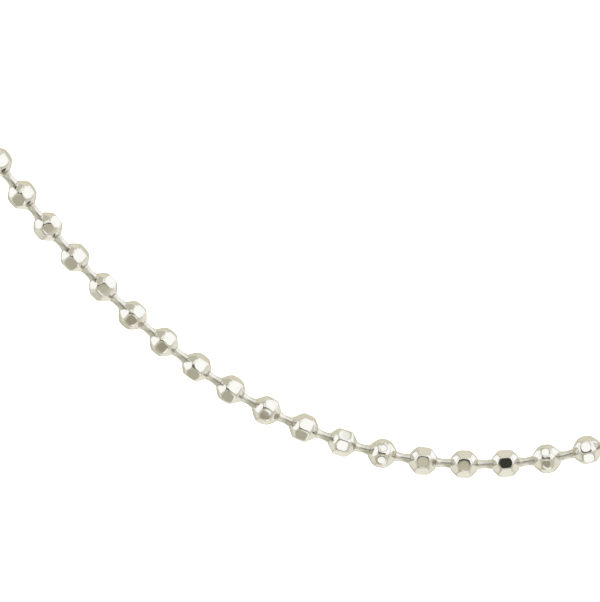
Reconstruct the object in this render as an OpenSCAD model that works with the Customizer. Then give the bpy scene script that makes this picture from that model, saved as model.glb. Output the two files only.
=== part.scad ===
// A ball chain necklace: small hollow balls with ground facets. Short pins with a head at each
// end are caught in neighbouring balls, and a slotted sleeve closes the loop at the nape.
// Millimetres. +Z is up, the front hangs towards -Y, and the origin is the middle of the nape.

/* [Balls] */
// Diameter of a ball before its facets are ground
ball_d = 2.5; // [2.4:0.1:2.9]
// Wall of the hollow ball
ball_wall = 0.25; // [0.2:0.01:0.28]
// Number of balls in the loop
ball_count = 114; // [104:2:120]
// Number of facets in the ring round the belly, and in the ring round each shoulder
facet_count = 7; // [6:1:9]
// Depth of a belly facet below the round surface
belly_cut = 0.1; // [0.08:0.01:0.13]
// Depth of a shoulder facet below the round surface
shoulder_cut = 0.1; // [0.08:0.01:0.13]
// Latitude of the shoulder facets, in degrees from the belly
shoulder_angle = 46; // [42:1:50]

/* [Link pins] */
// Thickness of the rod that shows between two balls
rod_d = 0.74; // [0.68:0.02:0.78]
// Length of rod that shows between two balls
rod_show = 1.06; // [1:0.02:1.3]
// Diameter of the head inside the ball
head_d = 1.4; // [1.36:0.01:1.44]
// Gap between the two heads that meet inside a ball
head_gap = 0.4; // [0.34:0.02:0.5]

/* [Clearances] */
// Play round the rod in the hole of a ball, which lets the chain bend
hole_play = 0.22; // [0.2:0.01:0.24]
// Gap between a pin's head and the inside of its ball
head_play = 0.12; // [0.11:0.01:0.14]
// Gap between an end ball and the sleeve round it
sleeve_play = 0.2; // [0.18:0.01:0.3]

/* [Sleeve] */
// Wall of the sleeve round the end balls
sleeve_wall = 0.35; // [0.3:0.05:0.6]
// Thickness of the sleeve's two ends
sleeve_end = 0.45; // [0.35:0.05:0.7]
// Play round the rod in the sleeve's ends and slot
sleeve_hole_play = 0.35; // [0.28:0.01:0.5]

/* [Hang] */
// Radius of the hanging front's curve at its lowest point
hang_r = 35; // [30:1:42]
// Length of chain from the lowest point to where it turns back over the shoulder
front_half = 60; // [54:1:66]
// Radius of the turn over the shoulder
shoulder_r = 20; // [19:1:26]

/* [Hidden] */

$fn = 32;
silver = [0.80, 0.79, 0.74];
rod_silver = [0.72, 0.70, 0.64];

ball_r = ball_d / 2;
hollow_r = ball_r - ball_wall;
hole_d = rod_d + 2 * hole_play;
facet_step = 360 / facet_count;
pitch = ball_d + rod_show;
pin_count = ball_count - 1;

// Where a head begins and ends, from the centre of its ball: its outer rim stops short of the
// hollow's round wall
head_in = head_gap / 2;
head_out = sqrt(pow(hollow_r - head_play, 2) - pow(head_d / 2, 2));

// Half of the loop, from the lowest point at the front to the nape, is a hanging curve, a quarter
// turn back over the shoulder, a straight side and a quarter circle round the back of the neck.
// The straight side takes what the other three leave of the length.
front_rise = atan(front_half / hang_r);
front_end = [hang_r * asinh(front_half / hang_r), 0, hang_r / cos(front_rise) - hang_r];
front_dir = [cos(front_rise), 0, sin(front_rise)];
turn_end = front_end + shoulder_r * (front_dir + [0, 1, 0]);
nape_r = turn_end[0];
half_loop = ball_count * pitch / 2;
turn_start_s = front_half;
side_start_s = turn_start_s + quarter(shoulder_r);
nape_start_s = half_loop - quarter(nape_r);
side_len = nape_start_s - side_start_s;
nape = [0, turn_end[1] + side_len + nape_r, turn_end[2]];

function asinh(x) = ln(x + sqrt(x * x + 1));
function quarter(r) = PI * r / 2;
function degrees(length, r) = length / r * 180 / PI;

// The hanging curve by its own length: x = r asinh(s / r), z = sqrt(r^2 + s^2) - r
function hang_point(s) = [hang_r * asinh(s / hang_r), 0, sqrt(hang_r * hang_r + s * s) - hang_r];
function turn_point(angle) =
    front_end + shoulder_r * (sin(angle) * front_dir + (1 - cos(angle)) * [0, 1, 0]);
function nape_point(angle) =
    [nape_r * cos(angle), nape[1] - nape_r * (1 - sin(angle)), nape[2]];

// A point of the right half of the loop, at a length s from the lowest point
function half_point(s) =
    s < turn_start_s ? hang_point(s) :
    s < side_start_s ? turn_point(degrees(s - turn_start_s, shoulder_r)) :
    s < nape_start_s ? turn_end + [0, s - side_start_s, 0] :
    nape_point(degrees(s - nape_start_s, nape_r));

// The same on the whole loop, where a negative length lies on the left, seen from the nape
function loop_point(s) =
    let (p = half_point(abs(s)) - nape) [sign(s) * p[0], p[1], p[2]];

function ball_s(i) = (i - (ball_count - 1) / 2) * pitch;
function ball_point(i) = loop_point(ball_s(i));
function ball_axis(i) = loop_point(ball_s(i) + pitch / 2) - loop_point(ball_s(i) - pitch / 2);

// Each ball swivels a little on its pins, so its facets sit turned by part of a step
function ball_roll(i) = facet_step * (0.5 + 0.15 * sin(137.5 * i)) - 90;

// Stands its children's Z axis along a direction
module along(direction) {
    rotate([0, acos(direction[2] / norm(direction)), atan2(direction[1], direction[0])]) children();
}

// Two pyramids base to base, whose faces are the planes of the two shoulder rings
module shoulder_planes() {
    reach = ball_r - shoulder_cut;
    base = reach / cos(shoulder_angle) / cos(facet_step / 2);
    tip = reach / sin(shoulder_angle);
    corners = [for (k = [0:facet_count - 1]) base * [cos(k * facet_step), sin(k * facet_step), 0]];
    top = facet_count;
    bottom = facet_count + 1;
    polyhedron(
        points = concat(corners, [[0, 0, tip], [0, 0, -tip]]),
        faces = concat(
            [for (k = [0:facet_count - 1]) [k, top, (k + 1) % facet_count]],
            [for (k = [0:facet_count - 1]) [(k + 1) % facet_count, bottom, k]]
        )
    );
}

// A prism whose faces are the planes of the belly ring, half a step round from the shoulders
module belly_planes() {
    rotate([0, 0, facet_step / 2])
        cylinder(r = (ball_r - belly_cut) / cos(facet_step / 2), h = ball_d, center = true,
            $fn = facet_count);
}

// The facets meet all over the ball, so nothing is left of its round surface but the hollow
module ball() {
    difference() {
        intersection() {
            belly_planes();
            shoulder_planes();
        }
        sphere(r = hollow_r);
        cylinder(d = hole_d, h = 2 * ball_d, center = true);
    }
}

// A pin from the hollow of one ball to the hollow of the next, turned in one piece
module link_pin(span) {
    rod_r = rod_d / 2;
    head_r = head_d / 2;
    rotate_extrude()
        polygon([
            [0, head_in], [head_r, head_in], [head_r, head_out], [rod_r, head_out],
            [rod_r, span - head_out], [head_r, span - head_out], [head_r, span - head_in],
            [0, span - head_in],
        ]);
}

module balls() {
    color(silver)
        for (i = [0:ball_count - 1])
            translate(ball_point(i)) along(ball_axis(i)) rotate([0, 0, ball_roll(i)]) ball();
}

module link_pins() {
    color(rod_silver)
        for (i = [0:pin_count - 1]) {
            link = ball_point(i + 1) - ball_point(i);
            translate(ball_point(i)) along(link) link_pin(norm(link));
        }
}

// The sleeve holds the two end balls. They go in at the round window in its middle, with their
// rods in the slot, and are drawn apart to its ends.
module sleeve() {
    bore_d = ball_d + 2 * sleeve_play;
    bore_len = pitch + bore_d;
    outer_d = bore_d + 2 * sleeve_wall;
    outer_len = bore_len + 2 * sleeve_end;
    slot_w = rod_d + 2 * sleeve_hole_play;
    color(silver)
        difference() {
            rotate([0, 90, 0]) cylinder(d = outer_d, h = outer_len, center = true);
            rotate([0, 90, 0]) cylinder(d = bore_d, h = bore_len, center = true);
            rotate([0, 90, 0]) cylinder(d = slot_w, h = 2 * outer_len, center = true);
            translate([-outer_len, -slot_w / 2, -outer_d]) cube([2 * outer_len, slot_w, outer_d]);
            mirror([0, 0, 1]) cylinder(d = bore_d, h = outer_d);
        }
}

balls();
link_pins();
sleeve();
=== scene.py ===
import bmesh
import bpy
import numpy as np
from mathutils import Matrix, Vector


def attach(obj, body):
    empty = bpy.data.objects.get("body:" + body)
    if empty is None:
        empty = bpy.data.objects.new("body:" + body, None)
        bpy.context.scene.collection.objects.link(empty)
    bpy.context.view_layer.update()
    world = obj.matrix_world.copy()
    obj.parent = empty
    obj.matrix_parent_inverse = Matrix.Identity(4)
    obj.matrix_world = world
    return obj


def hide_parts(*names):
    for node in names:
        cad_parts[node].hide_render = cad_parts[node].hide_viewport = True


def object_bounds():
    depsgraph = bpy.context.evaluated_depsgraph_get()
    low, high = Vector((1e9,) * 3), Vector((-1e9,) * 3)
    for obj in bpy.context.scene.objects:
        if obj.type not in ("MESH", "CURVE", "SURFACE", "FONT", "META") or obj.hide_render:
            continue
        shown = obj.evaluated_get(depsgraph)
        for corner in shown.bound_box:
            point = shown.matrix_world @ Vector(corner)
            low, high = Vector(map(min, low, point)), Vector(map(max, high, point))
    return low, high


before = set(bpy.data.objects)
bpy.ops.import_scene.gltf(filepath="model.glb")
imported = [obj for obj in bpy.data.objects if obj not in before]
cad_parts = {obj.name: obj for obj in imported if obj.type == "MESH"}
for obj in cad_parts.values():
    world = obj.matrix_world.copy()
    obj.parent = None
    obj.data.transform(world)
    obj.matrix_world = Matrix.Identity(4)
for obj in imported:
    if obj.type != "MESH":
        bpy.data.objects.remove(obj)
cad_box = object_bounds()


# Balls
# Each ball is a small hollow bead of sterling silver, stamped round, drilled at both poles and
# then ground with flat facets in three rings: seven round the belly and seven round each
# shoulder. It swivels loose on its two pins, so every ball shows another side.

mm = 0.001
ball_d = 2.5 * mm
ball_wall = 0.25 * mm
ball_count = 114
rod_show = 1.06 * mm
pitch = ball_d + rod_show
hollow_r = ball_d / 2 - ball_wall
rod_r = 0.37 * mm
hole_play = 0.1 * mm
hole_r = rod_r + hole_play
lip_round = 0.04 * mm
# How far out from the hole's wall the shade painted into each hole reaches
rim_width = 0.004 * mm

# The facets' distances from the centre of the ball, and the radius of the round surface that is
# left between them
facet_count = 7
facet_step = 2 * np.pi / facet_count
shoulder_lat = np.radians(44)
shoulder_reach = 1.215 * mm
belly_reach_middle = 1.165 * mm
belly_reach_spread = 0.015 * mm
round_r = 1.288 * mm
facet_softness = mm / 36
grinding_tilt = np.radians(0.5)
grinding_depth = 0.008 * mm

bright_silver = (0.81, 0.79, 0.74)
# The darker silver that wear, clouding and the shade painted into the holes blend towards
tarnish_and_shade_silver = (0.42, 0.40, 0.34)

# The way of the chain: the front's lowest-point radius, the length from there to the turn over
# the shoulder, and the radius of that turn
hang_r = 35 * mm
front_half = 60 * mm
shoulder_turn_r = 20 * mm


def loop_point(along):
    """The centre line by its length from the lowest point, negative on the left.

    The front hangs as x = r asinh(s / r), z = sqrt(r^2 + s^2) - r. A quarter turn takes it back
    over the shoulder, a straight side runs to the back, and a quarter circle rounds the nape.
    """
    rise = np.arctan(front_half / hang_r)
    front_x = hang_r * np.arcsinh(front_half / hang_r)
    nape_r = front_x + shoulder_turn_r * np.cos(rise)
    turn_end = front_half + shoulder_turn_r * np.pi / 2
    nape_start = ball_count * pitch / 2 - nape_r * np.pi / 2
    nape_y = shoulder_turn_r + nape_start - turn_end + nape_r
    nape_z = np.hypot(hang_r, front_half) - hang_r + shoulder_turn_r * np.sin(rise)

    length = np.abs(along)
    hang = np.minimum(length, front_half)
    turn = np.clip((length - front_half) / shoulder_turn_r, 0, np.pi / 2)
    side = np.clip(length, turn_end, nape_start) - turn_end
    nape = np.clip((length - nape_start) / nape_r, 0, None)
    x = (
        hang_r * np.arcsinh(hang / hang_r)
        + shoulder_turn_r * np.cos(rise) * np.sin(turn)
        - nape_r * (1 - np.cos(nape))
    )
    y = shoulder_turn_r * (1 - np.cos(turn)) + side + nape_r * np.sin(nape)
    z = np.hypot(hang_r, hang) - hang_r + shoulder_turn_r * np.sin(rise) * np.sin(turn)
    return np.stack([np.sign(along) * x, y - nape_y, z - nape_z], -1)


def upright_axes(direction):
    """Three unit axes for each direction: the third lies along it and the second is level."""
    along = direction / np.linalg.norm(direction, axis=-1, keepdims=True)
    bank = np.arccos(along[..., 2])
    heading = np.arctan2(along[..., 1], along[..., 0])
    level = np.stack([-np.sin(heading), np.cos(heading), 0 * heading], -1)
    across = np.stack(
        [np.cos(bank) * np.cos(heading), np.cos(bank) * np.sin(heading), -np.sin(bank)], -1
    )
    return np.stack([across, level, along], -2)


ball_number = np.arange(ball_count)
ball_s = (ball_number - (ball_count - 1) / 2) * pitch
ball_centre = loop_point(ball_s)
ball_axes = upright_axes(loop_point(ball_s + pitch / 2) - loop_point(ball_s - pitch / 2))

# How far each ball has swivelled, how far its left and right shoulder rings are turned from its
# belly ring, and how far from its centre the belly facets lie. The first and the last go up and
# down from ball to ball, by steps in radians that never come round to where they began.
swivel_step = np.radians(137.5)
reach_step = 2.4
swivel = 0.5 + 0.15 * np.sin(swivel_step * ball_number)
ball_turn = facet_step * swivel - np.pi / 2
shoulder_shift = np.full((ball_count, 2), facet_step / 2)
belly_reach = belly_reach_middle + belly_reach_spread * np.sin(reach_step * ball_number)

# The balls that the front view shows are as seen there. For each ball by its number: how far a
# belly facet, a left shoulder facet and a right one stand above the point that faces the viewer,
# in degrees, and the belly facets' distance from the centre, in millimetres.
viewer_elevation = np.radians(14)
to_viewer = np.array([0, -np.cos(viewer_elevation), np.sin(viewer_elevation)])
seen_balls = {
    41: (20, -20, 5, 1.16),
    42: (20, -20, 5, 1.16),
    43: (26, -40, 5, 1.17),
    44: (-3, -32, 12, 1.17),
    45: (19, -44, 19, 1.13),
    46: (-5, -42, 12, 1.15),
    47: (33, -22, 33, 1.17),
    48: (28, -28, 28, 1.17),
    49: (14, -23, 14, 1.14),
    50: (19, -28, 19, 1.15),
    51: (35, -7, 35, 1.17),
    52: (18, -5, 18, 1.13),
    53: (-14, 8, 41, 1.12),
    54: (23, -1, 23, 1.225),
    55: (-5, 24, 42, 1.15),
    56: (-2, 24, 26, 1.15),
    57: (2.5, 27, 28, 1.12),
    58: (29, 30, 33, 1.22),
    59: (15, 20, 15, 1.17),
}
for number, (belly, left, right, reach_mm) in seen_balls.items():
    across, level, _ = ball_axes[number] @ to_viewer
    ball_turn[number] = np.arctan2(level, across) - np.radians(belly)
    shoulder_shift[number] = np.radians([belly - left, belly - right])
    belly_reach[number] = reach_mm * mm


def sphere_point(azimuth, lat):
    """Points of the unit sphere: (cos(lat) cos(azimuth), cos(lat) sin(azimuth), sin(lat))."""
    azimuth, lat = np.broadcast_arrays(azimuth, lat)
    level = np.cos(lat)
    return np.stack([level * np.cos(azimuth), level * np.sin(azimuth), np.sin(lat)], -1)


def facet_planes(rng):
    """Each ball's facets: normals (ball, facet, 3) and their distances from its centre.

    A facet's normal stands at its azimuth and at latitude 0 for the belly, or minus or plus the
    shoulder's latitude. Grinding by hand leaves each one a little off in tilt and depth.
    """
    around = np.arange(facet_count) * facet_step
    shifts = np.stack([0 * shoulder_shift[:, 0], *shoulder_shift.T], 1)
    azimuth = (shifts[:, :, None] + around).reshape(ball_count, -1)
    lat = np.repeat([0, -shoulder_lat, shoulder_lat], facet_count)
    shoulders = np.full(ball_count, shoulder_reach)
    reach = np.repeat(np.stack([belly_reach, shoulders, shoulders], 1), facet_count, axis=1)
    azimuth = azimuth + grinding_tilt * rng.standard_normal(azimuth.shape)
    lat = lat + grinding_tilt * rng.standard_normal(azimuth.shape)
    reach = reach - grinding_depth * np.abs(rng.standard_normal(azimuth.shape))
    return sphere_point(azimuth, lat), reach


def ground_surface(ray, normal, reach):
    """Where each ray from a ball's centre meets its ground surface, and how it lies there.

    The surface is the soft maximum of all the facet planes and the round ball being zero,
    log(sum(exp(depth / softness))) * softness = 0, found by Newton's rule along the ray.
    Returns the distance, the outward normal and how near the point is to an edge, 0 to 1.
    """
    outside_ball = 1.4 * mm
    newton_steps = 14
    facing = np.einsum("brcx,bfx->brcf", ray, normal)
    distance = np.full(ray.shape[:3], outside_ball)
    for _ in range(newton_steps):
        depth = np.concatenate(
            [distance[..., None] * facing - reach[:, None, None, :],
             distance[..., None] - round_r], -1
        )
        top = depth.max(-1, keepdims=True)
        weight = np.exp((depth - top) / facet_softness)
        total = weight.sum(-1, keepdims=True)
        height = top[..., 0] + facet_softness * np.log(total[..., 0])
        weight = weight / total
        slope = (weight[..., :-1] * facing).sum(-1) + weight[..., -1]
        distance = distance - height / slope
    outward = np.einsum("brcf,bfx->brcx", weight[..., :-1], normal) + weight[..., -1:] * ray
    outward /= np.linalg.norm(outward, axis=-1, keepdims=True)
    return distance, outward, 1 - weight.max(-1)


def ball_grids(rng):
    """All the balls as closed grids (ball, row, column): places, normals, edge and painted shade
    masks.

    Columns gather at the edges between belly facets. Rows run down the outside, then round the
    lip, up the hollow and out at the other hole. Some rows keep to where a belly facet ends, at
    the round surface or at a shoulder facet, and to where a shoulder facet begins. With b and s
    the angles from the nearest belly and shoulder facet, and L the shoulder's latitude, a belly
    facet ends in the round surface at cos(lat) = belly reach / (round_r cos(b)), and meets a
    shoulder facet at tan(lat) = (shoulder reach / belly reach cos(b) - cos(L) cos(s)) / sin(L).
    """
    normal, reach = facet_planes(rng)
    # The columns of one facet, in degrees from its edge
    columns = np.radians([0, 1.5, 3.3, 5.8, *np.linspace(9.8, 41.6, 7), 45.6, 48.1, 49.9])
    azimuth = ((np.arange(facet_count)[:, None] + 0.5) * facet_step + columns).ravel()

    def from_nearest(shift):
        """Cosine of each column's angle from the nearest facet of a ring turned by shift."""
        turned = (azimuth - shift[:, None]) / facet_step
        return np.cos((turned - np.round(turned)) * facet_step)

    belly_cos = from_nearest(np.zeros(ball_count))
    reach_here = belly_reach[:, None] / belly_cos
    belly_end = np.arccos(np.minimum(reach_here / round_r, 1))
    # The least latitude where a belly facet ends, how far the rows on both sides of that edge lie
    # from it, and how much farther the next row on the belly does
    least, near, far = np.radians([7, 1.5, 4.6])
    belly_shares = (0.45, 0.8, 1)
    edge_shares = (0, 1 / 3, 2 / 3, 1)
    shoulder_shares = (0.14, 0.36, 0.6, 0.82, 1)
    # Where the facets end and the rounded lip of the hole begins
    rim_r = hole_r + 1.65 * lip_round
    halves = []
    for shift in shoulder_shift.T:
        level_part = np.cos(shoulder_lat) * from_nearest(shift)
        steep = np.sin(shoulder_lat)
        edge = np.arctan((shoulder_reach / reach_here - level_part) / steep)
        half_width = np.arccos(
            np.minimum(shoulder_reach / round_r / np.hypot(level_part, steep), 1)
        )
        shoulder_start = np.arctan2(steep, level_part) - half_width
        low = np.maximum(np.minimum(belly_end, edge), least) - near
        high = np.maximum(shoulder_start, edge) + near
        rim_z = np.minimum(
            (shoulder_reach - rim_r * level_part) / steep, np.sqrt(round_r**2 - rim_r**2)
        )
        rim = np.arctan(rim_z / rim_r)
        rows = [(low - far) * share for share in belly_shares]
        rows += [low + (high - low) * share for share in edge_shares]
        rows += [high + (rim - high) * share for share in shoulder_shares]
        halves.append(np.stack(rows, 1))
    left, right = halves
    lat = np.concatenate([right[:, ::-1], 0 * right[:, :1], -left], 1)
    ray = sphere_point(azimuth, lat)
    distance, outward, edge_mask = ground_surface(ray, normal, reach)
    outside = distance[..., None] * ray

    radial = sphere_point(azimuth, 0)
    radial = np.broadcast_to(radial, (ball_count, 1) + radial.shape)

    def lip(rim_place, rim_normal):
        """Two rows on a quarter circle of radius lip_round, from the rim to the hole's wall."""
        middle = rim_place - lip_round * rim_normal
        middle = middle + radial * (hole_r + lip_round - (middle * radial).sum(-1, keepdims=True))
        halfway = rim_normal - radial
        halfway /= np.linalg.norm(halfway, axis=-1, keepdims=True)
        turned = np.concatenate([halfway, -radial], 1)
        return middle + lip_round * turned, turned

    lip_low, lip_low_normal = lip(outside[:, -1:], outward[:, -1:])
    lip_high, lip_high_normal = lip(outside[:, :1], outward[:, :1])
    mouth = np.arccos(hole_r / hollow_r)
    hollow_rows = 4
    inner_ray = sphere_point(azimuth, np.linspace(-mouth, mouth, hollow_rows)[:, None])
    inner_ray = np.broadcast_to(inner_ray, (ball_count,) + inner_ray.shape)
    place = np.concatenate(
        [outside, lip_low, hollow_r * inner_ray, lip_high[:, ::-1]], 1
    )
    facing = np.concatenate([outward, lip_low_normal, -inner_ray, lip_high_normal[:, ::-1]], 1)
    shape = place.shape[:3]
    edge_full = np.zeros(shape)
    edge_full[:, : lat.shape[1]] = edge_mask
    # The mask of the shade painted into each hole: whole on the lip and in the hollow, and on the
    # outside only within rim_width of the hole's wall
    from_axis = np.hypot(place[..., 0], place[..., 1])
    painted_hole_shade = np.clip((hole_r + rim_width - from_axis) / rim_width, 0, 1)
    painted_hole_shade[:, lat.shape[1] :] = 1
    return place, facing, edge_full, painted_hole_shade


def grid_faces(rows, columns, closed_rows=False):
    """Quads of a grid whose columns close round, as rows of four point numbers."""
    last = rows if closed_rows else rows - 1
    row, column = np.meshgrid(np.arange(last), np.arange(columns), indexing="ij")
    below, beside = (row + 1) % rows, (column + 1) % columns
    quad = [row * columns + column, below * columns + column,
            below * columns + beside, row * columns + beside]
    return np.stack(quad, -1).reshape(-1, 4)


def copies(faces, count, points_each):
    """The same faces for each of several copies that follow each other in the point list."""
    firsts = np.arange(count)[:, None, None] * points_each
    return (faces[None] + firsts).reshape(-1, faces.shape[1])


def new_piece(name, points, face_sets, material, normals=None, masks=None):
    """A smooth mesh object at the origin from a point array and arrays of equal-sided faces."""
    sides = np.concatenate([np.full(len(faces), faces.shape[1]) for faces in face_sets])
    corners = np.concatenate([faces.ravel() for faces in face_sets])
    mesh = bpy.data.meshes.new(name)
    mesh.vertices.add(points.size // 3)
    mesh.vertices.foreach_set("co", points.astype(np.float32).ravel())
    mesh.loops.add(len(corners))
    mesh.loops.foreach_set("vertex_index", corners.astype(np.int32))
    mesh.polygons.add(len(sides))
    mesh.polygons.foreach_set("loop_start", (np.cumsum(sides) - sides).astype(np.int32))
    mesh.polygons.foreach_set("use_smooth", np.ones(len(sides), bool))
    mesh.update(calc_edges=True)
    for mask_name, values in (masks or {}).items():
        layer = mesh.attributes.new(mask_name, "FLOAT", "POINT")
        layer.data.foreach_set("value", values.astype(np.float32).ravel())
    if normals is not None:
        mesh.normals_split_custom_set_from_vertices(normals.reshape(-1, 3).tolist())
    mesh.materials.append(material)
    piece = bpy.data.objects.new(name, mesh)
    bpy.context.scene.collection.objects.link(piece)
    return piece


def silver_finish_group():
    """The finish that all the silver shares: a mirror polish with hair-fine scratches.

    Edge marks where the metal was left rounder and duller between facets. The other mask marks
    the lip and the hollow of each hole, which are painted darker as shade in uneven spots, and
    rougher.
    """
    group = bpy.data.node_groups.new("worked silver", "ShaderNodeTree")
    for name, direction, kind in (
        ("Polished", "INPUT", "NodeSocketColor"),
        ("Tarnished and shaded", "INPUT", "NodeSocketColor"),
        ("Edge", "INPUT", "NodeSocketFloat"),
        ("Painted hole shade", "INPUT", "NodeSocketFloat"),
        ("Smoothest", "INPUT", "NodeSocketFloat"),
        ("Roughest", "INPUT", "NodeSocketFloat"),
        ("Colour", "OUTPUT", "NodeSocketColor"),
        ("Roughness", "OUTPUT", "NodeSocketFloat"),
        ("Height", "OUTPUT", "NodeSocketFloat"),
    ):
        group.interface.new_socket(name=name, in_out=direction, socket_type=kind)
    nodes, links = group.nodes, group.links
    given = nodes.new("NodeGroupInput")
    result = nodes.new("NodeGroupOutput")
    place = nodes.new("ShaderNodeTexCoord")

    def noise(scale, detail, stretch=(1, 1, 1)):
        """A noise pattern on the piece's own coordinates, whose scale may differ by axis."""
        mapping = nodes.new("ShaderNodeMapping")
        mapping.inputs["Scale"].default_value = stretch
        pattern = nodes.new("ShaderNodeTexNoise")
        pattern.inputs["Scale"].default_value = scale
        pattern.inputs["Detail"].default_value = detail
        links.new(place.outputs["Object"], mapping.inputs["Vector"])
        links.new(mapping.outputs["Vector"], pattern.inputs["Vector"])
        return pattern.outputs["Fac"]

    def combine(operation, first, second, clamp=False):
        """One arithmetic step on two outputs or numbers."""
        node = nodes.new("ShaderNodeMath")
        node.operation, node.use_clamp = operation, clamp
        for socket, value in zip(node.inputs, (first, second)):
            if isinstance(value, (int, float)):
                socket.default_value = value
            else:
                links.new(value, socket)
        return node.outputs[0]

    def blend(factor, first, second):
        """A mix of two colours. The node's colour sockets are inputs 6 and 7 and output 2."""
        node = nodes.new("ShaderNodeMix")
        node.data_type = "RGBA"
        links.new(factor, node.inputs[0])
        links.new(first, node.inputs[6])
        links.new(second, node.inputs[7])
        return node.outputs[2]

    least_hole_shade, edge_share, cloud_share, scratch_share = 0.35, 0.35, 0.06, 0.2
    # Clouds of about 1 mm, drawn-out scratches of about 0.1 mm and spots of about 0.2 mm
    clouding = noise(scale=900, detail=3)
    scratches = noise(scale=9000, detail=2, stretch=(1, 0.12, 0.35))
    spots = noise(scale=5200, detail=3)
    # The lip and the hollow of each hole are painted darker as shade, unevenly by the spots, and
    # made rougher. The edges and the clouds darken as wear.
    hole_shade_depth = combine("ADD", spots, least_hole_shade)
    painted_hole_shade = combine("MULTIPLY", given.outputs["Painted hole shade"], hole_shade_depth, True)
    edge = combine("MULTIPLY", given.outputs["Edge"], edge_share)
    dull_and_shaded = combine("ADD", painted_hole_shade, combine("MULTIPLY", edge, spots), True)
    worn_and_shaded = combine("ADD", dull_and_shaded, combine("MULTIPLY", clouding, cloud_share), True)
    links.new(
        blend(worn_and_shaded, given.outputs["Polished"], given.outputs["Tarnished and shaded"]),
        result.inputs["Colour"],
    )
    span = combine("SUBTRACT", given.outputs["Roughest"], given.outputs["Smoothest"])
    marks = combine("MULTIPLY", scratches, scratch_share)
    rough_share = combine("ADD", combine("ADD", painted_hole_shade, edge), marks, True)
    links.new(
        combine("ADD", given.outputs["Smoothest"], combine("MULTIPLY", span, rough_share)),
        result.inputs["Roughness"],
    )
    links.new(combine("ADD", scratches, combine("MULTIPLY", spots, dull_and_shaded)), result.inputs["Height"])
    return group


silver_finish = silver_finish_group()


def silver(name, polished, smoothest, roughest, masked=False):
    """A silver material that uses the shared finish with its own colour and polish."""
    material = bpy.data.materials.new(name)
    material.use_nodes = True
    nodes, links = material.node_tree.nodes, material.node_tree.links
    shader = nodes["Principled BSDF"]
    shader.inputs["Metallic"].default_value = 1.0
    finish = nodes.new("ShaderNodeGroup")
    finish.node_tree = silver_finish
    finish.inputs["Polished"].default_value = (*polished, 1)
    finish.inputs["Tarnished and shaded"].default_value = (*tarnish_and_shade_silver, 1)
    finish.inputs["Smoothest"].default_value = smoothest
    finish.inputs["Roughest"].default_value = roughest
    if masked:
        # The facet edges' wear and the shade painted into the holes come from the balls' masks
        for socket, mask_name in (("Edge", "facet_edge"), ("Painted hole shade", "painted_hole_shade")):
            mask = nodes.new("ShaderNodeAttribute")
            mask.attribute_name = mask_name
            links.new(mask.outputs["Fac"], finish.inputs[socket])
    bump = nodes.new("ShaderNodeBump")
    bump.inputs["Strength"].default_value = 0.04
    bump.inputs["Distance"].default_value = 0.004 * mm
    links.new(finish.outputs["Height"], bump.inputs["Height"])
    links.new(finish.outputs["Colour"], shader.inputs["Base Color"])
    links.new(finish.outputs["Roughness"], shader.inputs["Roughness"])
    links.new(bump.outputs["Normal"], shader.inputs["Normal"])
    return material


ball_silver = silver("ball silver", bright_silver, smoothest=0.06, roughest=0.30, masked=True)

# A ball's facets turn with it about its own axis
turn = ball_turn[:, None]
facet_axes = np.stack(
    [
        np.cos(turn) * ball_axes[:, 0] + np.sin(turn) * ball_axes[:, 1],
        np.cos(turn) * ball_axes[:, 1] - np.sin(turn) * ball_axes[:, 0],
        ball_axes[:, 2],
    ],
    1,
)
# The balls carry masks of their facet edges and of the shade painted into their holes
ball_place, ball_facing, ball_edge, ball_painted_shade = ball_grids(np.random.default_rng(24))
ball_rows, ball_columns = ball_place.shape[1:3]
ball_place = np.einsum("brcx,bxy->brcy", ball_place, facet_axes) + ball_centre[:, None, None]
ball_facing = np.einsum("brcx,bxy->brcy", ball_facing, facet_axes)

# Four stretches of the loop, so that no piece has too many faces
stretches = ("balls_left_back", "balls_left_front", "balls_right_front", "balls_right_back")
for name, these in zip(stretches, np.array_split(ball_number, len(stretches))):
    faces = grid_faces(ball_rows, ball_columns, True)
    faces = copies(faces, len(these), ball_rows * ball_columns)
    balls = new_piece(
        name, ball_place[these], [faces], ball_silver, ball_facing[these],
        {"facet_edge": ball_edge[these], "painted_hole_shade": ball_painted_shade[these]},
    )
    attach(balls, "root")
    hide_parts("balls")


# Link pins
# Between each two balls lies a short pin of drawn silver wire. Its headed ends were upset inside
# the balls, which hold them captive, and the wire swells slightly where it enters a ball.

swell = 0.085 * mm
swell_at = 1.13 * mm
swell_length = 0.32 * mm
head_r = 0.7 * mm
head_inner = 0.2 * mm
head_play = 0.12 * mm
head_outer = np.sqrt((hollow_r - head_play) ** 2 - head_r**2)
head_bevel = 0.04 * mm
pin_sides = 18
drawn_silver = (0.77, 0.75, 0.69)


def pin_profile(half_span):
    """Half of each pin's outline: distance from its ball's centre, and radius.

    A bevelled head, then the wire, whose radius is rod_r + swell exp(-((t - at) / length)^2).
    """
    head_t = np.array([0, head_bevel, head_outer - head_inner - head_bevel]) + head_inner
    head_t = np.append(head_t, [head_outer, head_outer])
    head_radius = np.array([head_r - head_bevel, head_r, head_r, head_r - head_bevel, rod_r])
    share = np.array([0.04, 0.16, 0.28, 0.35, 0.41, 0.47, 0.53, 0.59, 0.67, 0.77, 0.88, 1])
    wire_t = head_outer + (half_span[:, None] - head_outer) * share
    wire_radius = rod_r + swell * np.exp(-(((wire_t - swell_at) / swell_length) ** 2))
    count = len(half_span)
    t = np.concatenate([np.tile(head_t, (count, 1)), wire_t], 1)
    return t, np.concatenate([np.tile(head_radius, (count, 1)), wire_radius], 1)


span = np.linalg.norm(np.diff(ball_centre, axis=0), axis=1)
pin_count = len(span)
half_t, half_radius = pin_profile(span / 2)
pin_t = np.concatenate([half_t, span[:, None] - half_t[:, -2::-1]], 1)
pin_radius = np.concatenate([half_radius, half_radius[:, -2::-1]], 1)
pin_rows = pin_t.shape[1]

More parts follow.
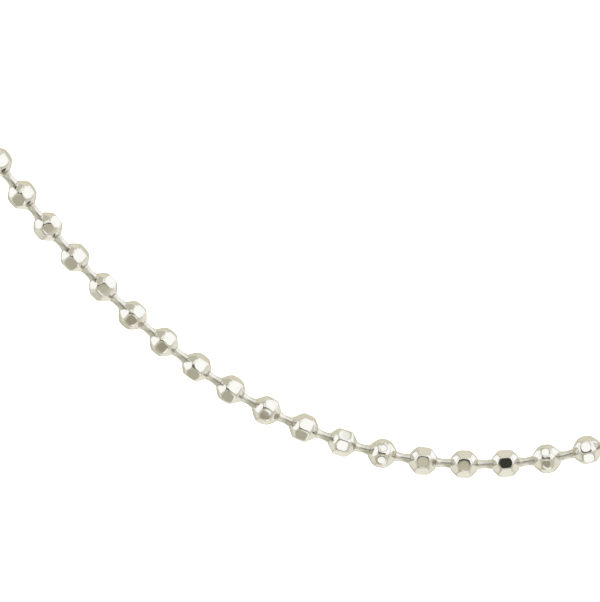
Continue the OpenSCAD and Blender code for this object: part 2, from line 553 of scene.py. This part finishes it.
# The outline is carried along the chain's own curve, so that each wire meets its balls squarely
pin_s = ball_s[:-1, None] + pin_t * (pitch / span)[:, None]
pin_centre = loop_point(pin_s)
small_step = pitch / 50
pin_axes = upright_axes(loop_point(pin_s + small_step) - loop_point(pin_s - small_step))
pin_angle = np.arange(pin_sides) * 2 * np.pi / pin_sides
circle = np.stack([np.cos(pin_angle), np.sin(pin_angle)], 1)
spoke = np.einsum("ak,prkx->prax", circle, pin_axes[:, :, :2])
pin_skin = pin_centre[:, :, None] + pin_radius[..., None, None] * spoke
pin_place = np.concatenate(
    [pin_skin.reshape(pin_count, -1, 3), pin_centre[:, [0, -1]]], 1
)
corner = np.arange(pin_sides)
next_corner = (corner + 1) % pin_sides
last_row = (pin_rows - 1) * pin_sides
middle = pin_rows * pin_sides
end_faces = np.concatenate(
    [
        np.stack([0 * corner + middle, next_corner, corner], 1),
        np.stack([0 * corner + middle + 1, last_row + corner, last_row + next_corner], 1),
    ]
)
side_faces = grid_faces(pin_rows, pin_sides)[:, ::-1]
points_each = middle + 2
pin_silver = silver("pin silver", drawn_silver, smoothest=0.27, roughest=0.42)
pins = new_piece(
    "link_pins_drawn", pin_place,
    [copies(side_faces, pin_count, points_each), copies(end_faces, pin_count, points_each)],
    pin_silver,
)
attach(pins, "root")
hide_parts("link_pins")


# Sleeve
# A short tube of sheet silver closes the loop at the nape. A slot along its underside lets the
# rods in and a round window in the middle lets the end balls in, which its two ends then hold.

sleeve_play = 0.2 * mm
sleeve_wall = 0.34 * mm
sleeve_end = 0.45 * mm
slot_play = 0.35 * mm
bore_r = ball_d / 2 + sleeve_play
sleeve_r = bore_r + sleeve_wall
bore_half = pitch / 2 + bore_r
sleeve_half = bore_half + sleeve_end
slot_half = rod_r + slot_play
window_r = bore_r
window_rows = 19
sleeve_columns = 121
sleeve_edge = 0.07 * mm


def sleeve_surface():
    """The tube's closed outline carried round from one slot edge to the other.

    At each point of the outline (x, r) the carrying stops at the angle asin(w / r) from
    straight down, where w is half the slot's width, or the round window's where that is wider.
    """
    window_end = np.sqrt(window_r**2 - slot_half**2)
    middle_x = window_end * np.sin(np.linspace(-np.pi / 2, np.pi / 2, window_rows))
    # The plain stretch between the bore's end and the window
    plain_x = np.array([bore_half, 2.4 * mm, 1.7 * mm])
    run = np.concatenate([-plain_x, middle_x, plain_x[::-1]])
    outer = np.concatenate([[-sleeve_half], run, [sleeve_half]])
    x = np.concatenate([outer, [sleeve_half, bore_half], run[::-1], [-bore_half, -sleeve_half]])
    ends = np.full(2, slot_half)
    radius = np.concatenate(
        [np.full(len(outer), sleeve_r), ends, np.full(len(run), bore_r), ends]
    )
    width = np.maximum(slot_half, np.sqrt(np.clip(window_r**2 - x**2, 0, None)))
    start = np.arcsin(np.minimum(width / radius, 1))[:, None]
    angle = start + (2 * np.pi - 2 * start) * np.linspace(0, 1, sleeve_columns)
    x, radius = x[:, None] + 0 * angle, radius[:, None]
    points = np.stack([x, radius * np.sin(angle), -radius * np.cos(angle)], -1)
    return points, len(outer), len(run)


sleeve_place, outer_count, run_count = sleeve_surface()
rows = len(sleeve_place)
row, column = np.meshgrid(np.arange(rows), np.arange(sleeve_columns - 1), indexing="ij")
beyond = (row + 1) % rows
skin = np.stack(
    [row * sleeve_columns + column, row * sleeve_columns + column + 1,
     beyond * sleeve_columns + column + 1, beyond * sleeve_columns + column], -1
).reshape(-1, 4)
# The cut faces along the slot: quads between the outer and inner run, and a five-sided one at
# each end, which takes in the corner of the bore
across_outer = np.arange(1, run_count)
across_inner = outer_count + 2 + run_count - across_outer
cut = np.stack([across_outer, across_outer + 1, across_inner, across_inner + 1], 1)
first_inner, last_inner = outer_count + 2, outer_count + 1 + run_count
cut_ends = np.array(
    [
        [run_count, run_count + 1, outer_count, outer_count + 1, first_inner],
        [0, 1, last_inner, last_inner + 1, last_inner + 2],
    ]
)
slot_faces = [cut * sleeve_columns, cut_ends * sleeve_columns]
far_side = [faces + sleeve_columns - 1 for faces in slot_faces]
sleeve_silver = silver("sleeve silver", bright_silver, smoothest=0.09, roughest=0.28)
sleeve = new_piece(
    "sleeve_closed", sleeve_place, [skin, slot_faces[0], far_side[0], slot_faces[1], far_side[1]],
    sleeve_silver,
)
shell = bmesh.new()
shell.from_mesh(sleeve.data)
bmesh.ops.recalc_face_normals(shell, faces=shell.faces)
shell.to_mesh(sleeve.data)
shell.free()
rounding = sleeve.modifiers.new("rounded edges", "BEVEL")
rounding.width = sleeve_edge
rounding.segments = 3
rounding.limit_method = "ANGLE"
rounding.harden_normals = True
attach(sleeve, "root")
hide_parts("sleeve")


# Floor
# A plain table top in pale matt paint. It lies well below the chain, which hangs free above it,
# and it isn't mirrored in the metal.

floor_drop = 60 * mm
floor_half = 3.0
floor_z = cad_box[0].z - floor_drop
floor_corners = np.array([[-1, -1, 0], [1, -1, 0], [1, 1, 0], [-1, 1, 0]]) * floor_half
floor_paint = bpy.data.materials.new("pale table")
floor_paint.use_nodes = True
floor_shader = floor_paint.node_tree.nodes["Principled BSDF"]
floor_shader.inputs["Base Color"].default_value = (0.96, 0.96, 0.95, 1)
floor_shader.inputs["Roughness"].default_value = 0.9
floor_shader.inputs["Specular IOR Level"].default_value = 0.1
floor = new_piece("floor", floor_corners + [0, 0, floor_z], [np.arange(4)[None]], floor_paint)
floor.visible_glossy = False


# Light
# A studio tent of pale cloth, mirrored in the metal as panels: large softboxes at the right
# front, the left and the right, a bright table, small lamps above and below the camera, and the
# dark lens with a dark flag on either side. An area lamp overhead lights the table.


def studio_tent():
    """The world as soft round patches, painted one over another on a grey ground.

    A patch of direction d covers a direction v by smoothstep(cos(end), cos(full), v . d), so it
    is whole up to one angle from its middle and fades to nothing at the other.
    """
    world = bpy.data.worlds.new("studio tent")
    bpy.context.scene.world = world
    world.use_nodes = True
    nodes, links = world.node_tree.nodes, world.node_tree.links
    nodes.clear()
    direction = nodes.new("ShaderNodeTexCoord").outputs["Generated"]
    grey = nodes.new("ShaderNodeRGB")
    grey.outputs[0].default_value = (0.70, 0.685, 0.60, 1)
    colour = grey.outputs[0]
    white = (1.21, 1.23, 1.25)
    flag = (0.12, 0.115, 0.09)
    # Towards where, the angle up to which it is whole, the angle at which it ends, its colour
    panels = (
        # The roof and the wall behind the chain
        ((0.00, 0.75, 0.60), 32, 46, (0.80, 0.77, 0.63)),
        ((0.02, 0.42, 0.90), 18, 26, (0.87, 0.84, 0.73)),
        ((-0.45, 0.02, 0.89), 16, 22, (0.61, 0.60, 0.49)),
        ((-0.20, 0.90, -0.35), 32, 42, (0.66, 0.64, 0.53)),
        # The bright table, in the middle, at the right and at the left
        ((0.10, 0.30, -0.95), 27, 34, (1.01, 1.00, 0.90)),
        ((0.80, 0.30, -0.50), 26, 38, (0.96, 0.94, 0.85)),
        ((-0.88, 0.10, -0.44), 16, 26, (0.92, 0.90, 0.80)),
        # The darker front, below the camera and round it
        ((-0.36, -0.60, -0.70), 20, 26, (0.52, 0.50, 0.41)),
        ((-0.12, -0.87, -0.47), 12, 15, (0.39, 0.37, 0.28)),
        ((0.00, -0.97, 0.24), 20, 28, (0.51, 0.49, 0.38)),
        # The softbox at the right front, and a pale patch straight ahead
        ((0.58, -0.55, 0.60), 31, 36, white),
        ((0.02, -1.00, 0.05), 4, 7, (0.66, 0.63, 0.52)),
        # The two flags and the lens between them
        ((-0.38, -0.82, 0.43), 14, 19, flag),
        ((0.22, -0.92, 0.33), 11, 15, flag),
        ((0.00, -0.945, 0.32), 7, 9, (0.045, 0.046, 0.040)),
        # Small lamps, the first of them in a grey surround
        ((0.17, -0.49, 0.86), 11, 14, (0.46, 0.45, 0.36)),
        ((0.19, -0.51, 0.84), 7, 9, white),
        ((-0.01, -0.96, -0.27), 6, 8, white),
        ((-0.11, -0.73, -0.68), 7, 9, white),
        ((0.15, -0.51, -0.85), 12, 16, white),
        ((-0.04, -0.50, 0.87), 4, 7, white),
        ((-0.18, -0.31, 0.93), 8, 11, white),
        ((-0.23, -0.72, 0.65), 8, 11, white),
        ((0.31, -0.03, 0.95), 6, 8, white),
        # The softboxes at the left, one nearer and one farther back, and at the right
        ((-0.88, -0.12, 0.42), 26, 31, white),
        ((-0.91, 0.33, 0.22), 14, 18, white),
        ((0.88, 0.22, 0.42), 25, 30, white),
    )
    for towards, full, end, patch_colour in panels:
        towards = np.array(towards) / np.linalg.norm(towards)
        facing = nodes.new("ShaderNodeVectorMath")
        facing.operation = "DOT_PRODUCT"
        facing.inputs[1].default_value = towards
        links.new(direction, facing.inputs[0])
        share = nodes.new("ShaderNodeMapRange")
        share.interpolation_type = "SMOOTHSTEP"
        share.inputs["From Min"].default_value = np.cos(np.radians(end))
        share.inputs["From Max"].default_value = np.cos(np.radians(full))
        links.new(facing.outputs["Value"], share.inputs["Value"])
        mix = nodes.new("ShaderNodeMix")
        mix.data_type = "RGBA"
        links.new(share.outputs["Result"], mix.inputs["Factor"])
        links.new(colour, mix.inputs[6])
        mix.inputs[7].default_value = (*patch_colour, 1)
        colour = mix.outputs[2]
    seen = nodes.new("ShaderNodeLightPath")
    backdrop = nodes.new("ShaderNodeMix")
    backdrop.data_type = "RGBA"
    backdrop.inputs[7].default_value = (1, 1, 1, 1)
    links.new(seen.outputs["Is Camera Ray"], backdrop.inputs["Factor"])
    links.new(colour, backdrop.inputs[6])
    background = nodes.new("ShaderNodeBackground")
    output = nodes.new("ShaderNodeOutputWorld")
    links.new(backdrop.outputs[2], background.inputs["Color"])
    links.new(background.outputs[0], output.inputs["Surface"])


studio_tent()

lamp = bpy.data.lights.new("overhead softbox", "AREA")
lamp.energy = 60
lamp.size = 2.0
softbox = bpy.data.objects.new("overhead softbox", lamp)
softbox.location = (0, 0, 2.0)
softbox.visible_camera = False
softbox.visible_glossy = False
bpy.context.scene.collection.objects.link(softbox)


# Camera
# A long lens in front of the chain, 14 degrees above level and rolled slightly. The lowest point
# of the hanging front lies right of the middle of the picture and below it.

camera_roll = np.radians(0.9)
camera_distance = 1.2
picture_size = np.array([600, 602])
pixels_per_metre = 11.64 / mm
lowest_pixel = np.array([484.9, 464.3])

look = np.array([0, np.cos(viewer_elevation), -np.sin(viewer_elevation)])
level_up = np.array([0, np.sin(viewer_elevation), np.cos(viewer_elevation)])
level_right = np.array([1.0, 0, 0])
right = np.cos(camera_roll) * level_right - np.sin(camera_roll) * level_up
up = np.sin(camera_roll) * level_right + np.cos(camera_roll) * level_up
aside, below = (lowest_pixel - picture_size / 2) / pixels_per_metre
aim = loop_point(np.zeros(1))[0] - aside * right + below * up
stand = aim - camera_distance * look
lens = bpy.data.cameras.new("camera")
lens.sensor_fit = "HORIZONTAL"
lens.lens = lens.sensor_width * camera_distance * pixels_per_metre / picture_size[0]
lens.clip_start = 0.01
camera = bpy.data.objects.new("camera", lens)
camera.matrix_world = Matrix(
    [[*row, place] for row, place in zip(np.stack([right, up, -look], 1), stand)] + [[0, 0, 0, 1]]
)
bpy.context.scene.collection.objects.link(camera)
bpy.context.scene.camera = camera
bpy.context.scene.view_settings.view_transform = "Standard"
